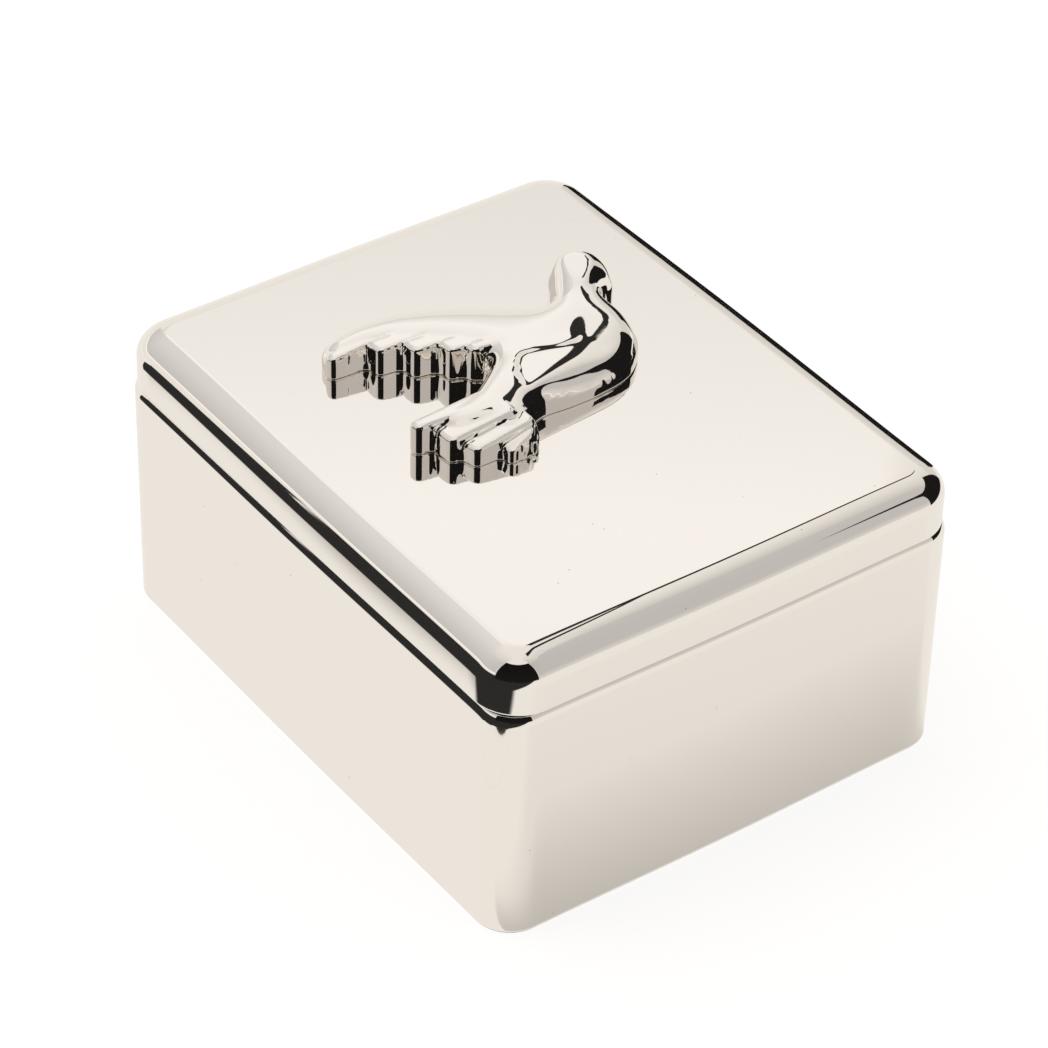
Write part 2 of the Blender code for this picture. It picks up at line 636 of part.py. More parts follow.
def make_washer(name, place, lid):
    """A flat washer between a nut and the lid's underside."""
    hole = STUD_RADIUS + HARDWARE_GAP
    profile = [(hole, -WASHER_THICK), (WASHER_RADIUS, -WASHER_THICK), (WASHER_RADIUS, 0), (hole, 0)]
    make_turned(name, profile, Matrix.Translation((*place, WASHER_TOP)), ROUND_SIDES,
                nickel(f"{name}_metal"), lid)


def main():
    """Build the box."""
    for item in list(bpy.data.objects):
        bpy.data.objects.remove(item, do_unlink=True)
    lid = bpy.data.objects.new("lid_axis", None)
    lid.location = HINGE_AXIS
    bpy.context.scene.collection.objects.link(lid)
    base_body = make_base_body()
    make_floor()
    make_lining_wall()
    make_pads(lid)
    lid_shell = make_lid_shell(lid)
    make_dove(lid)
    for name, place in stud_places().items():
        make_washer(f"dove_washer_{name}", place, lid)
        make_nut(f"dove_nut_{name}", place, lid)
    for side, sign in (("left", -1), ("right", 1)):
        make_hinge(side, sign * HINGE_SPACING / 2, base_body, lid_shell, lid)


main()
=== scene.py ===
"""Looks of a plated keepsake box: a hinged lid with a cast dove on it, and a velvet lining.

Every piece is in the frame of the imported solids: metres, +Z up, X along the front, Y from the front
to the hinged back, and the origin at the centre of the felt's resting face.
"""

import logging
import math
from dataclasses import dataclass
from enum import Enum

import bmesh
import bpy
import numpy as np
from bmesh.types import BMesh, BMFace, BMVert
from bpy.types import Material, NodeSocket, NodeTree, Object
from mathutils import Matrix, Vector


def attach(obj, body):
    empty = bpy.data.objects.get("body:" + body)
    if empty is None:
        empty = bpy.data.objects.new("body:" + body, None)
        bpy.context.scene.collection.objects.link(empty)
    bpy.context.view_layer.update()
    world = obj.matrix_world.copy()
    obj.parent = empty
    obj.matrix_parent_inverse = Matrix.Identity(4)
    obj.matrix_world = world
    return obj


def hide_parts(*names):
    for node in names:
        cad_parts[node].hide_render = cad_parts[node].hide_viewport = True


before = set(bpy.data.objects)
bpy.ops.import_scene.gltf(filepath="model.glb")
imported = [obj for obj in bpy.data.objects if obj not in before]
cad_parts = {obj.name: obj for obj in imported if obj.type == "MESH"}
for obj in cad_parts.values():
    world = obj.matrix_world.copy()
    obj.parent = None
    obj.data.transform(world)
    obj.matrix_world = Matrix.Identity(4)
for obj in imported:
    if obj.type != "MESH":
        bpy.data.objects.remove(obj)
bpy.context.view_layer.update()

LOG = logging.getLogger("keepsake_box")

# Into how many steps a round is cut: a long mirrored one, a plain one and a very small one.
LONG_ROUND = 10
PLAIN_ROUND = 5
SMALL_ROUND = 3
# The range in which the power that bends a curve is sought, and how often it is halved.
POWER_RANGE = (0.2, 6.0)
HALVINGS = 50

Steps = list[tuple[float, float]]
Point = tuple[float, ...] | np.ndarray


class Body(Enum):
    """The two rigid bodies of the box."""

    BASE = "base"
    LID = "lid"


class Slot(Enum):
    """The record's material slots."""

    SILVER = "silver_plate"
    NICKEL = "nickel_plate"
    VELVET = "lining_velvet"
    FELT = "base_felt"


# Colour and shader helpers


def linear(hex_colour: str) -> tuple[float, float, float, float]:
    """Turn an sRGB hex colour to linear values.

    Args:
        hex_colour: a colour such as "#E8E0D8".

    Returns:
        Red, green, blue and an alpha of 1.
    """
    values = []
    for start in (1, 3, 5):
        share = int(hex_colour[start:start + 2], 16) / 255
        values.append(share / 12.92 if share <= 0.04045 else ((share + 0.055) / 1.055) ** 2.4)
    return (*values, 1.0)


def add_node(tree: NodeTree, kind: str, inputs: dict | None = None, output: int | str = 0,
             **settings: str | bool) -> NodeSocket | None:
    """Add a node with its settings, values and links.

    Args:
        tree: the node tree.
        kind: the node's type, without the words "ShaderNode" in front.
        inputs: values, or sockets to link from, by input name or number.
        output: the name or number of the output that is wanted.
        settings: properties of the node by name.

    Returns:
        That output of the new node, or None where it has none.
    """
    node = tree.nodes.new(f"ShaderNode{kind}")
    for name, value in settings.items():
        setattr(node, name, value)
    for name, value in (inputs or {}).items():
        if isinstance(value, NodeSocket):
            tree.links.new(value, node.inputs[name])
        else:
            node.inputs[name].default_value = value
    return node.outputs[output] if node.outputs else None


def new_material(name: str) -> tuple[Material, NodeTree]:
    """Start a material.

    Args:
        name: the material's name.

    Returns:
        The material and its empty node tree.
    """
    material = bpy.data.materials.new(name)
    material.use_nodes = True
    material.node_tree.nodes.clear()
    return material, material.node_tree


# Finishes


@dataclass(frozen=True)
class SilverPlate:
    """Silver plate on pressed brass, buffed to a mirror and lacquered."""

    name: str = "silver_plate_buffed"
    colour: str = "#F5F1EB"
    pit_colour: str = "#8A837B"
    roughness: tuple[float, float] = (0.0245, 0.0455)
    haze_mm: float = 32.0
    ripple_mm: float = 16.0
    ripple_depth_mm: float = 0.0012
    pit_spacing_mm: float = 5.5
    pit_radius_share: float = 0.030
    pit_depth_mm: float = 0.010

    def material(self) -> Material:
        """Build the material: a warm mirror with a slow buffing ripple and a few fine pits.

        Returns:
            The material.
        """
        made, tree = new_material(self.name)
        place = add_node(tree, "TexCoord", output="Object")
        # Buffing leaves a very slow ripple, which bends long reflections a little.
        ripple = add_node(tree, "TexNoise", {
            "Vector": place, "Scale": 1000 / self.ripple_mm, "Detail": 1.0})
        waves = add_node(tree, "Bump", {
            "Strength": 1.0, "Distance": self.ripple_depth_mm / 1000, "Height": ripple})
        # Dust under the plate shows as a few pits, drawn a third of a millimetre wide to show.
        cells = add_node(tree, "TexVoronoi", {
            "Vector": place, "Scale": 1000 / self.pit_spacing_mm})
        pit = add_node(tree, "MapRange", {
            "Value": cells, "From Min": self.pit_radius_share,
            "From Max": self.pit_radius_share / 3}, interpolation_type="SMOOTHSTEP")
        pits = add_node(tree, "Bump", {
            "Strength": 1.0, "Distance": self.pit_depth_mm / 1000, "Height": pit, "Normal": waves},
            invert=True)
        # The cloth leaves the gloss slightly uneven.
        haze = add_node(tree, "TexNoise", {
            "Vector": place, "Scale": 1000 / self.haze_mm, "Detail": 3.0})
        gloss = add_node(tree, "MapRange", {
            "Value": haze, "To Min": self.roughness[0], "To Max": self.roughness[1]})
        shade = add_node(tree, "Mix", {
            0: pit, 6: linear(self.colour), 7: linear(self.pit_colour)},
            data_type="RGBA", output=2)
        shader = add_node(tree, "BsdfPrincipled", {
            "Base Color": shade, "Metallic": 1.0, "Roughness": gloss, "Normal": pits})
        add_node(tree, "OutputMaterial", {0: shader})
        return made


@dataclass(frozen=True)
class NickelPlate:
    """Satin nickel plate on rolled steel strip, as on small hinges and screws."""

    name: str = "nickel_plate_satin"
    colour: str = "#C9C4BB"
    roughness: tuple[float, float] = (0.168, 0.36)
    wear_per_metre: float = 260.0
    grain_mm: float = 0.12
    grain_stretch: float = 0.05
    grain_depth_mm: float = 0.004

    def material(self) -> Material:
        """Build the material: a satin metal with rolling lines along the strip.

        Returns:
            The material.
        """
        made, tree = new_material(self.name)
        place = add_node(tree, "TexCoord", output="Object")
        along = add_node(tree, "Mapping", {
            "Vector": place, "Scale": (self.grain_stretch, 1.0, 1.0)})
        grain = add_node(tree, "TexNoise", {
            "Vector": along, "Scale": 1000 / self.grain_mm, "Detail": 3.0})
        lines = add_node(tree, "Bump", {
            "Strength": 0.5, "Distance": self.grain_depth_mm / 1000, "Height": grain})
        wear = add_node(tree, "TexNoise", {
            "Vector": place, "Scale": self.wear_per_metre, "Detail": 4.0})
        gloss = add_node(tree, "MapRange", {
            "Value": wear, "To Min": self.roughness[0], "To Max": self.roughness[1]})
        shader = add_node(tree, "BsdfPrincipled", {
            "Base Color": linear(self.colour), "Metallic": 1.0, "Roughness": gloss,
            "Normal": lines})
        add_node(tree, "OutputMaterial", {0: shader})
        return made


@dataclass(frozen=True)
class Velvet:
    """Cotton velvet with a short cut pile, whose tufts are drawn coarse enough to show."""

    name: str = "cotton_velvet_navy"
    deep: str = "#0D1430"
    light: str = "#243463"
    sheen: str = "#8E9DC8"
    pile_mm: float = 0.35
    pile_depth_mm: float = 0.25
    nap_mm: float = 14.0
    nap_range: tuple[float, float] = (0.44, 0.58)

    def material(self) -> Material:
        """Build the material: dark along the pile, with a pale sheen and brushed patches.

        Returns:
            The material.
        """
        made, tree = new_material(self.name)
        place = add_node(tree, "TexCoord", output="Object")
        nap = add_node(tree, "TexNoise", {
            "Vector": place, "Scale": 1000 / self.nap_mm, "Detail": 3.0, "Distortion": 0.6})
        brushed = add_node(tree, "MapRange", {
            "Value": nap, "From Min": 0.3, "From Max": 0.7, "To Min": self.nap_range[0],
            "To Max": self.nap_range[1]})
        pile = add_node(tree, "TexNoise", {
            "Vector": place, "Scale": 1000 / self.pile_mm, "Detail": 2.0})
        mixed = add_node(tree, "Math", {0: brushed, 1: pile}, operation="MULTIPLY")
        share = add_node(tree, "MapRange", {"Value": mixed, "From Min": 0.12, "From Max": 0.42})
        shade = add_node(tree, "Mix", {
            0: share, 6: linear(self.deep), 7: linear(self.light)}, data_type="RGBA", output=2)
        tufts = add_node(tree, "Bump", {
            "Strength": 0.8, "Distance": self.pile_depth_mm / 1000, "Height": pile})
        shader = add_node(tree, "BsdfPrincipled", {
            "Base Color": shade, "Roughness": 0.9, "Sheen Weight": 0.7, "Sheen Roughness": 0.35,
            "Sheen Tint": linear(self.sheen), "Normal": tufts})
        add_node(tree, "OutputMaterial", {0: shader})
        return made


@dataclass(frozen=True)
class WoolFelt:
    """Pressed wool felt, glued under the base."""

    name: str = "wool_felt_charcoal"
    dark: str = "#262422"
    pale: str = "#4A4744"
    fibre_mm: float = 0.18
    fibre_depth_mm: float = 0.2

    def material(self) -> Material:
        """Build the material: matt, with pale fibres pressed in all directions.

        Returns:
            The material.
        """
        made, tree = new_material(self.name)
        place = add_node(tree, "TexCoord", output="Object")
        fibre = add_node(tree, "TexNoise", {
            "Vector": place, "Scale": 1000 / self.fibre_mm, "Detail": 5.0, "Distortion": 2.5})
        share = add_node(tree, "MapRange", {"Value": fibre, "From Min": 0.4, "From Max": 0.75})
        shade = add_node(tree, "Mix", {
            0: share, 6: linear(self.dark), 7: linear(self.pale)}, data_type="RGBA", output=2)
        mat = add_node(tree, "Bump", {
            "Strength": 0.9, "Distance": self.fibre_depth_mm / 1000, "Height": fibre})
        shader = add_node(tree, "BsdfPrincipled", {
            "Base Color": shade, "Roughness": 1.0, "Sheen Weight": 0.2, "Normal": mat})
        add_node(tree, "OutputMaterial", {0: shader})
        return made


# Shape helpers


@dataclass(frozen=True)
class BoxPlan:
    """The box's plan: a rectangle with round corners and slightly bowed sides."""

    width: float = 0.1020
    depth: float = 0.1257
    bow: float = 0.00034
    corner_steps: int = 20
    side_steps: int = 48
    long_share: float = 0.9
    touch: float = 1e-6

    def face(self, inset: float, corner: float, height: float) -> tuple[BMesh, BMFace]:
        """Start a bmesh with the plan as one flat face.

        Args:
            inset: how far it is set in from the box's sides.
            corner: the radius of its corners.
            height: its level.

        Returns:
            The bmesh, and its face, which looks up.
        """
        bm = bmesh.new()
        made = bmesh.ops.create_grid(bm, x_segments=1, y_segments=1, size=0.5)
        half = Vector((self.width / 2 - inset, self.depth / 2 - inset, 0))
        bmesh.ops.scale(bm, vec=(2 * half.x, 2 * half.y, 1), verts=made["verts"])
        bmesh.ops.bevel(bm, geom=made["verts"], offset=corner, affect="VERTICES", material=-1,
                        segments=self.corner_steps, profile=0.5, offset_type="OFFSET")
        face = max(bm.faces, key=lambda item: item.calc_area())
        shortest = 2 * (min(half.x, half.y) - corner) * self.long_share
        sides = [edge for edge in face.edges if edge.calc_length() > shortest]
        bmesh.ops.subdivide_edges(bm, edges=sides, cuts=self.side_steps - 1)
        for vert in face.verts:
            for axis, other in ((0, 1), (1, 0)):
                straight = 2 * (half[axis] - corner)
                off_side = abs(abs(vert.co[other]) - half[other])
                if abs(vert.co[axis]) < straight / 2 and off_side < self.touch:
                    wave = math.cos(2 * math.pi * vert.co[axis] / straight)
                    vert.co[other] += math.copysign(self.bow * (1 + wave) / 2, vert.co[other])
        bmesh.ops.translate(bm, vec=(0, 0, height), verts=face.verts[:])
        return bm, face


def raise_face(bm: BMesh, face: BMFace, steps: Steps) -> BMFace:
    """Carry a flat face inwards and up or down in steps, which leaves walls behind it.

    Args:
        bm: the bmesh.
        face: the flat face.
        steps: for each step, how far it goes inwards and how far it rises.

    Returns:
        The face at the end of the steps.
    """
    for inwards, rise in steps:
        if inwards:
            bmesh.ops.inset_region(bm, faces=[face], thickness=inwards, use_even_offset=True,
                                   use_boundary=True)
        else:
            face = bmesh.ops.extrude_discrete_faces(bm, faces=[face])["faces"][0]
        bmesh.ops.translate(bm, vec=(0, 0, rise), verts=face.verts[:])
    return face


def close_tube(bm: BMesh, face: BMFace) -> None:
    """Take away the face inside a tube's foot and join the foot's two rims."""
    bmesh.ops.delete(bm, geom=[face], context="FACES_ONLY")
    bmesh.ops.bridge_loops(bm, edges=[edge for edge in bm.edges if edge.is_boundary])


def curve_steps(width: float, height: float, count: int, start: float) -> Steps:
    """The steps of a convex edge, from upright at its foot to nearly flat at its top.

    Args:
        width: how far it goes inwards in all.
        height: how far it rises in all.
        count: the number of steps.
        start: the slope that is left at its top, in degrees.

    Returns:
        The steps inwards and up, for raise_face.
    """
    # The range is halved until the curve has the wanted proportions.
    low, high = POWER_RANGE
    for _ in range(HALVINGS):
        power = (low + high) / 2
        shares = [(1 - (step + 0.5) / count) ** power for step in range(count)]
        tilts = [math.radians(start + (90 - start) * share) for share in shares]
        run = sum(math.cos(tilt) for tilt in tilts)
        rise = sum(math.sin(tilt) for tilt in tilts)
        if rise / run > height / width:
            low = power
        else:
            high = power
    return [(width * math.cos(tilt) / run, height * math.sin(tilt) / rise) for tilt in tilts]


def round_steps(radius: float, count: int, down: bool = False, start: float = 0.0,
                end: float = 90.0) -> Steps:
    """The steps of a round.

    Args:
        radius: its radius.
        count: the number of steps.
        down: whether it turns down again, from flat to upright, instead of up.
        start: how far it is turned from upright where it starts, in degrees.
        end: how far it is turned where it ends.

    Returns:
        The steps inwards and up, for raise_face.
    """
    turns = [math.radians(start + (end - start) * share / count) for share in range(count + 1)]
    steps = [(radius * (math.cos(low) - math.cos(high)), radius * (math.sin(high) - math.sin(low)))
             for low, high in zip(turns, turns[1:])]
    return [(inwards, -rise) for inwards, rise in reversed(steps)] if down else steps


def link_mesh(name: str, bm: BMesh, material: Material) -> Object:
    """Turn a bmesh into an object of the scene.

    Args:
        name: the object's name.
        bm: its shape, in place, which is freed.
        material: its material.

    Returns:
        The new object.
    """
    mesh = bpy.data.meshes.new(name)
    bm.to_mesh(mesh)
    bm.free()
    mesh.materials.append(material)
    made = bpy.data.objects.new(name, mesh)
    bpy.context.scene.collection.objects.link(made)
    return made


def finish_piece(name: str, bm: BMesh, material: Material, body: Body, node: str,
                 sharp: float = 35.0) -> Object:
    """Turn a bmesh into a piece that rides on a body.

    Args:
        name: the piece's name.
        bm: its shape, in place.
        material: its material.
        body: the body that carries it.
        node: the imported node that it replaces.
        sharp: the angle in degrees above which an edge stays sharp.

    Returns:
        The new object.
    """
    bmesh.ops.recalc_face_normals(bm, faces=bm.faces[:])
    piece = link_mesh(name, bm, material)
    piece.data.shade_smooth()
    piece.data.set_sharp_from_angle(angle=math.radians(sharp))
    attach(piece, body.value)
    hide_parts(node)
    LOG.info("%s: %d faces, on %s", name, len(piece.data.polygons), body.value)
    return piece


# The base


@dataclass
class BaseWall:
    """The drawn and plated wall of the base, whose rim bows in before its small round."""

    plan: BoxPlan
    finish: Material
    top: float = 0.0499
    foot: float = 0.0003
    wall: float = 0.0012
    corner: float = 0.0075
    rim_bow: float = 0.0030
    rim_turn: float = 37.0
    rim_round: float = 0.0003
    inner_edge: float = 0.00005
    support: float = 0.0003

    def build(self) -> Object:
        """Build the wall: up the outside, over the rim, down the inside and across the foot.

        Returns:
            The wall.
        """
        bm, face = self.plan.face(0.0, self.corner, self.foot)
        rim = (round_steps(self.rim_bow, LONG_ROUND, end=self.rim_turn)
               + round_steps(self.rim_round, PLAIN_ROUND, start=self.rim_turn))
        rim_width, rim_height = (sum(step[axis] for step in rim) for axis in (0, 1))
        straight = self.top - rim_height - self.foot - 2 * self.support
        steps = [(0, self.support), (0, straight), (0, self.support), *rim,
                 (self.wall - rim_width - self.inner_edge, 0),
                 (self.inner_edge, -self.inner_edge), (0, self.foot - self.top + self.inner_edge)]
        close_tube(bm, raise_face(bm, face, steps))
        return finish_piece("base_body_plated", bm, self.finish, Body.BASE,
                            "base_body")


@dataclass
class BaseFelt:
    """The felt pad that the box rests on, with softly pressed edges."""

    plan: BoxPlan
    finish: Material
    inset: float = 0.0015
    corner: float = 0.0060
    thick: float = 0.0015
    edge: float = 0.0003

    def build(self) -> Object:
        """Build the pad from the resting face up.

        Returns:
            The pad.
        """
        bm, face = self.plan.face(self.inset, self.corner, 0.0)
        bmesh.ops.duplicate(bm, geom=[face])
        raise_face(bm, face, [(0, self.thick - self.edge),
                              *round_steps(self.edge, SMALL_ROUND)])
        return finish_piece("base_felt_pad", bm, self.finish, Body.BASE, "base_felt")


# The lid


@dataclass
class LidShell:
    """The pressed and plated lid: a flat top, a rounded shoulder with a crisp crease, a band."""

    plan: BoxPlan
    finish: Material
    bottom: float = 0.0502
    height: float = 0.0111
    wall: float = 0.0012
    corner: float = 0.0090
    shoulder_width: float = 0.0058
    shoulder_height: float = 0.0052
    shoulder_steps: int = 22
    crease_slope: float = 9.0
    crease_round: float = 0.00012
    edge_round: float = 0.0002
    edge_angle: float = 50.0
    support: float = 0.0002

    def build(self) -> Object:
        """Build the lid's outside and give it its thickness inwards.

        Returns:
            The lid.
        """
        bm, face = self.plan.face(0.0, self.corner, self.bottom)
        band = self.height - self.shoulder_height
        shoulder = curve_steps(self.shoulder_width, self.shoulder_height, self.shoulder_steps,
                               self.crease_slope)
        raise_face(bm, face, [
            (0, self.support + self.edge_round), (0, band - 2 * self.support - self.edge_round),
            (0, self.support), *shoulder, (self.crease_round, 0.0), (self.crease_round, 0.0)])
        piece = finish_piece("lid_shell_plated", bm, self.finish, Body.LID,
                             "lid_shell", sharp=60.0)
        thicken = piece.modifiers.new("wall", "SOLIDIFY")
        thicken.thickness = self.wall
        thicken.offset = -1.0
        thicken.use_even_offset = True
        edges = piece.modifiers.new("edges", "BEVEL")
        edges.width = self.edge_round
        edges.segments = SMALL_ROUND
        edges.angle_limit = math.radians(self.edge_angle)
        return piece


# The dove


def join_fields(first: np.ndarray, second: np.ndarray, reach: float) -> np.ndarray:
    """The larger of two fields, with a rounded change from one to the other."""
    near = np.clip(1 - np.abs(first - second) / reach, 0, 1)
    return np.maximum(first, second) + near * near * reach / 4


def share_along(x: np.ndarray, y: np.ndarray, start: Point, end: Point
                ) -> tuple[np.ndarray, np.ndarray]:
    """Measure places against a straight line between two points.

    Args:
        x: places along X.
        y: places along Y.
        start: the line's first point.
        end: its last point.

    Returns:
        The share of the line at which it is nearest to each place, and how far away it is there.
    """
    run_x, run_y = end[0] - start[0], end[1] - start[1]
    along = (x - start[0]) * run_x + (y - start[1]) * run_y
    t = np.clip(along / (run_x * run_x + run_y * run_y), 0, 1)
    return t, np.hypot(x - start[0] - run_x * t, y - start[1] - run_y * t)


@dataclass(frozen=True)
class Trunk:
    """The smooth part of the dove, in millimetres.

    Each limb is a path of rows of X, Y, half width, height and softness. The half widths give the
    outline, which is blown up like a cushion: where the softness is small it rises quickly to a
    flat top, and where it is large it is a slow dome. Heights and softness are averages of the
    rows near by.
    """

    limbs: tuple[tuple[tuple[float, float, float, float, float], ...], ...]
    outline_reach: float = 3.0
    spread: float = 3.4
    upright: float = 0.10
    path_steps: int = 6
    rounds: int = 500
    border: float = 0.25
    outside: float = -1000.0
    least_weight: float = 1e-12
    least_softness: float = 1.0

    def path(self, rows: tuple) -> np.ndarray:
        """Put points between a limb's rows, on a smooth curve.

        Args:
            rows: the limb's rows.

        Returns:
            The finer rows.
        """
        rows = np.array(rows)
        padded = np.vstack([2 * rows[0] - rows[1], rows, 2 * rows[-1] - rows[-2]])
        points = []
        for index in range(len(rows) - 1):
            before, start, end, after = padded[index:index + 4]
            slope, bend = end - before, 2 * before - 5 * start + 4 * end - after
            turn = 3 * start - before - 3 * end + after
            for step in range(self.path_steps):
                t = step / self.path_steps
                points.append(start + (slope * t + bend * t ** 2 + turn * t ** 3) / 2)
        return np.array([*points, rows[-1]])

    def spans(self, x: np.ndarray, y: np.ndarray) -> tuple[np.ndarray, np.ndarray, np.ndarray]:
        """The trunk's outline and the averages of its rows.

        Args:
            x: places along X.
            y: places along Y.

        Returns:
            The depth inside its outline, the height and the softness.
        """
        depth = np.full(x.shape, self.outside)
        weights, heights, softness = (np.full(x.shape, self.least_weight) for _ in range(3))
        for rows in self.limbs:
            path = self.path(rows)
            limb = np.full(x.shape, self.outside)
            for start, end in zip(path, path[1:]):
                t, away = share_along(x, y, start, end)
                limb = np.maximum(limb, start[2] + (end[2] - start[2]) * t - away)
                length = np.linalg.norm((end - start)[:2])
                weight = np.exp(-(away / self.spread) ** 2 / 2) * length
                weights += weight
                heights += weight * (start[3] + (end[3] - start[3]) * t)
                softness += weight * (start[4] + (end[4] - start[4]) * t)
            depth = join_fields(depth, limb, self.outline_reach)
        softness = np.maximum(softness / weights, self.least_softness)
        return depth, heights / weights, softness

    def heights(self, x: np.ndarray, y: np.ndarray) -> np.ndarray:
        """Blow the outline up over a square grid of places.

        Args:
            x: the grid's places along X.
            y: the grid's places along Y.

        Returns:
            The heights of its top.
        """
        depth, height, softness = self.spans(x, y)
        cell = abs(x[0, 1] - x[0, 0])
        pull = (cell / softness[1:-1, 1:-1]) ** 2 / 4
        rise = np.where(depth > 0, 1 - np.exp(-np.maximum(depth, 0) / softness),
                        depth / softness)
        inner = depth[1:-1, 1:-1] > self.border
        for _ in range(self.rounds):
            around = rise[:-2, 1:-1] + rise[2:, 1:-1] + rise[1:-1, :-2] + rise[1:-1, 2:]
            rise[1:-1, 1:-1] = np.where(inner, (around / 4 + pull) / (1 + pull),
                                        rise[1:-1, 1:-1])
        swell = np.sqrt(1 - (1 - np.clip(rise, 0, 1)) ** 2)
        return height * (self.upright + (1 - self.upright) * swell)


@dataclass(frozen=True)
class Hollow:
    """A shallow hollow in the dove's breast, in millimetres.

    The outline's points are rows of X, Y and the slope of the bank that rises outside it from
    there on. The floor falls from the start along the heading, more and more steeply and faster
    still past the knee, and rises to the side.
    """

    outline: tuple[tuple[float, float, float], ...]
    start: tuple[float, float] = (0.4, 4.2)
    top: float = 7.4
    heading: tuple[float, float] = (0.409, -0.912)
    fall: tuple[float, float] = (0.03, 0.005)
    knee: tuple[float, float] = (6.5, 0.02)
    tilt: float = 0.03

    def floor(self, x: np.ndarray, y: np.ndarray) -> np.ndarray:
        """The height of the floor and its banks.

        Args:
            x: places along X.
            y: places along Y.

        Returns:
            The heights.
        """
        x_run, y_run = x - self.start[0], y - self.start[1]
        along = np.maximum(x_run * self.heading[0] + y_run * self.heading[1], -1)
        across = y_run * self.heading[0] - x_run * self.heading[1]
        floor = self.top + self.tilt * across - self.fall[0] * along - self.fall[1] * along ** 2
        floor -= self.knee[1] * np.maximum(along - self.knee[0], 0) ** 2
        rise, inside = np.full(x.shape, np.inf), np.zeros(x.shape, dtype=bool)
        for start, end in zip(self.outline, (*self.outline[1:], self.outline[0])):
            rise = np.minimum(rise, start[2] * share_along(x, y, start, end)[1])
            run_x, run_y = end[0] - start[0], end[1] - start[1]
            if run_y:
                crossed = x < start[0] + (y - start[1]) * run_x / run_y
                inside ^= ((start[1] > y) != (end[1] > y)) & crossed
        return floor + np.where(inside, 0, rise)


@dataclass(frozen=True)
class Feather:
    """A feather's end with a flat top and upright faces, in millimetres.

    The corners run counterclockwise from the front corner of the outer end. The heights are those
    of the outer and of the inner end.
    """

    corners: tuple[tuple[float, float], ...]
    heights: tuple[float, float]
    corner_round: float = 1.3
    edge: float = 0.9
    upright: float = 0.86
    reach: float = 0.35

    def field(self, x: np.ndarray, y: np.ndarray) -> tuple[np.ndarray, np.ndarray]:
        """The feather as a field.

        Args:
            x: places along X in millimetres.
            y: places along Y in millimetres.

        Returns:
            The depth inside its outline, and the height of its top.
        """
        corners = np.array(self.corners)
        depth = None
        for start, end in zip(corners, np.roll(corners, -1, axis=0)):
            run = (end - start) / np.linalg.norm(end - start)
            inside = (y - start[1]) * run[0] - (x - start[0]) * run[1]
            depth = inside if depth is None else -join_fields(-depth, -inside, self.corner_round)
        outer, inner = corners[[0, 3]].mean(axis=0), corners[[1, 2]].mean(axis=0)
        along = share_along(x, y, outer, inner)[0]
        height = self.heights[0] + (self.heights[1] - self.heights[0]) * along
        inward = np.clip(depth / self.edge, 0, 1)
        swell = np.sqrt(1 - (1 - inward) ** 2)
        return depth, height * (self.upright + (1 - self.upright) * swell)


def places(verts: list[BMVert]) -> tuple[np.ndarray, np.ndarray]:
    """The X and the Y of points in metres."""
    return (np.array([vert.co.x for vert in verts]), np.array([vert.co.y for vert in verts]))


def soften(bm: BMesh, verts: list[BMVert], rounds: int) -> None:
    """Smooth some points of a bmesh a number of times."""
    for _ in range(rounds):
        bmesh.ops.smooth_vert(bm, verts=verts, factor=0.5, use_axis_x=True, use_axis_y=True,
                              use_axis_z=True)


